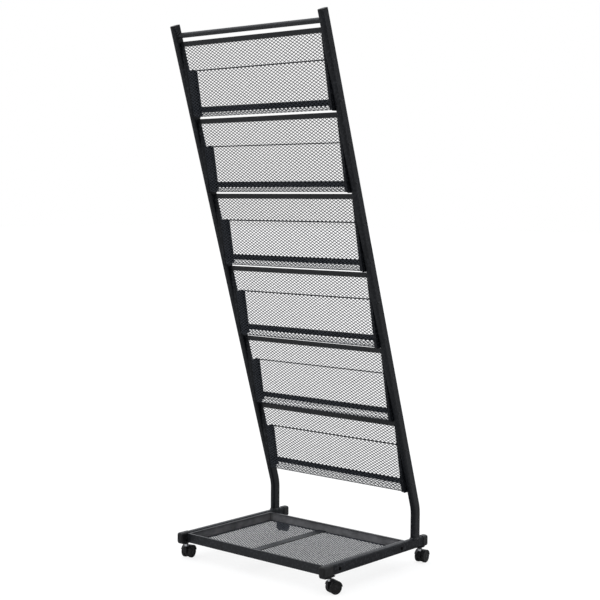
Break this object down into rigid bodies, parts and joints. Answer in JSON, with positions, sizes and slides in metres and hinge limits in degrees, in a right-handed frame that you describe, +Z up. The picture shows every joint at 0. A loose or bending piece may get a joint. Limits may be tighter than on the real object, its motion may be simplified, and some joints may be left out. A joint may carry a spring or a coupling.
{
  "type": "rolling brochure rack",
  "caption": "Leaning rolling rack with a ladder of wide mesh pockets between two bent posts, over a low mesh tray on twin-wheel casters; holds and shows brochures.",
  "frame": {"origin": "centre of the bounding box at floor level, casters in their stored headings", "axes": "+Z up; +X to the right when seen from the side the posts lean towards; -Y is the side the posts lean towards and the open tray's front, +Y the side the posts stand on and the pockets open to"},
  "size_m": [0.5035, 0.4482, 1.3341],
  "materials": {
    "frame_paint": "satin black powder coat",
    "mesh_paint": "satin black powder coat on expanded mesh",
    "cap_plastic": "matte moulded black",
    "hood_plastic": "satin moulded black",
    "wheel_plastic": "matte moulded black",
    "chrome": "bright plated"
  },
  "bodies": {
    "frame": {"post_left": "frame_paint", "post_cap_left": "cap_plastic", "foot_left": "frame_paint", "post_right": "frame_paint", "post_cap_right": "cap_plastic", "foot_right": "frame_paint", "top_rail": "frame_paint", "foot_end_near_left": "cap_plastic", "foot_end_near_right": "cap_plastic", "foot_end_far_left": "cap_plastic", "foot_end_far_right": "cap_plastic", "tray_frame": "frame_paint", "tray_mesh": "mesh_paint", "tray_bar": "frame_paint", "pocket1_mesh": "mesh_paint", "pocket1_side_left": "frame_paint", "pocket1_side_right": "frame_paint", "pocket1_bar": "frame_paint", "pocket1_wire": "frame_paint", "pocket2_mesh": "mesh_paint", "pocket2_side_left": "frame_paint", "pocket2_side_right": "frame_paint", "pocket2_bar": "frame_paint", "pocket2_wire": "frame_paint", "pocket3_mesh": "mesh_paint", "pocket3_side_left": "frame_paint", "pocket3_side_right": "frame_paint", "pocket3_bar": "frame_paint", "pocket3_wire": "frame_paint", "pocket4_mesh": "mesh_paint", "pocket4_side_left": "frame_paint", "pocket4_side_right": "frame_paint", "pocket4_bar": "frame_paint", "pocket4_wire": "frame_paint", "pocket5_mesh": "mesh_paint", "pocket5_side_left": "frame_paint", "pocket5_side_right": "frame_paint", "pocket5_bar": "frame_paint", "pocket5_wire": "frame_paint", "pocket6_mesh": "mesh_paint", "pocket6_side_left": "frame_paint", "pocket6_side_right": "frame_paint", "pocket6_bar": "frame_paint", "pocket6_wire": "frame_paint", "caster_nl_stem": "chrome", "caster_nr_stem": "chrome", "caster_fl_stem": "chrome", "caster_fr_stem": "chrome"},
    "swivel_nl": {"caster_nl_hood": "hood_plastic"},
    "wheel_nl_a": {"caster_nl_wheel_a": "wheel_plastic"},
    "wheel_nl_b": {"caster_nl_wheel_b": "wheel_plastic"},
    "swivel_nr": {"caster_nr_hood": "hood_plastic"},
    "wheel_nr_a": {"caster_nr_wheel_a": "wheel_plastic"},
    "wheel_nr_b": {"caster_nr_wheel_b": "wheel_plastic"},
    "swivel_fl": {"caster_fl_hood": "hood_plastic"},
    "wheel_fl_a": {"caster_fl_wheel_a": "wheel_plastic"},
    "wheel_fl_b": {"caster_fl_wheel_b": "wheel_plastic"},
    "swivel_fr": {"caster_fr_hood": "hood_plastic"},
    "wheel_fr_a": {"caster_fr_wheel_a": "wheel_plastic"},
    "wheel_fr_b": {"caster_fr_wheel_b": "wheel_plastic"}
  },
  "joints": [
    {"name": "swivel_nl", "type": "hinge", "parent": "frame", "child": "swivel_nl", "pos_m": [-0.2321, -0.1742, 0.025], "axis": [0, 0, 1], "continuous": true},
    {"name": "roll_nl_a", "type": "hinge", "parent": "swivel_nl", "child": "wheel_nl_a", "pos_m": [-0.23491, -0.16202, 0.0156], "axis": [0.9744, 0.225, 0], "continuous": true},
    {"name": "roll_nl_b", "type": "hinge", "parent": "swivel_nl", "child": "wheel_nl_b", "pos_m": [-0.23491, -0.16202, 0.0156], "axis": [0.9744, 0.225, 0], "continuous": true},
    {"name": "swivel_nr", "type": "hinge", "parent": "frame", "child": "swivel_nr", "pos_m": [0.2291, -0.1692, 0.025], "axis": [0, 0, 1], "continuous": true},
    {"name": "roll_nr_a", "type": "hinge", "parent": "swivel_nr", "child": "wheel_nr_a", "pos_m": [0.23338, -0.15745, 0.0156], "axis": [0.9397, -0.342, 0], "continuous": true},
    {"name": "roll_nr_b", "type": "hinge", "parent": "swivel_nr", "child": "wheel_nr_b", "pos_m": [0.23338, -0.15745, 0.0156], "axis": [0.9397, -0.342, 0], "continuous": true},
    {"name": "swivel_fl", "type": "hinge", "parent": "frame", "child": "swivel_fl", "pos_m": [-0.2321, 0.1928, 0.025], "axis": [0, 0, 1], "continuous": true},
    {"name": "roll_fl_a", "type": "hinge", "parent": "swivel_fl", "child": "wheel_fl_a", "pos_m": [-0.23427, 0.20511, 0.0156], "axis": [0.9848, 0.1736, 0], "continuous": true},
    {"name": "roll_fl_b", "type": "hinge", "parent": "swivel_fl", "child": "wheel_fl_b", "pos_m": [-0.23427, 0.20511, 0.0156], "axis": [0.9848, 0.1736, 0], "continuous": true},
    {"name": "swivel_fr", "type": "hinge", "parent": "frame", "child": "swivel_fr", "pos_m": [0.2291, 0.1928, 0.025], "axis": [0, 0, 1], "continuous": true},
    {"name": "roll_fr_a", "type": "hinge", "parent": "swivel_fr", "child": "wheel_fr_a", "pos_m": [0.22758, 0.20521, 0.0156], "axis": [0.9925, 0.1219, 0], "continuous": true},
    {"name": "roll_fr_b", "type": "hinge", "parent": "swivel_fr", "child": "wheel_fr_b", "pos_m": [0.22758, 0.20521, 0.0156], "axis": [0.9925, 0.1219, 0], "continuous": true}
  ]
}
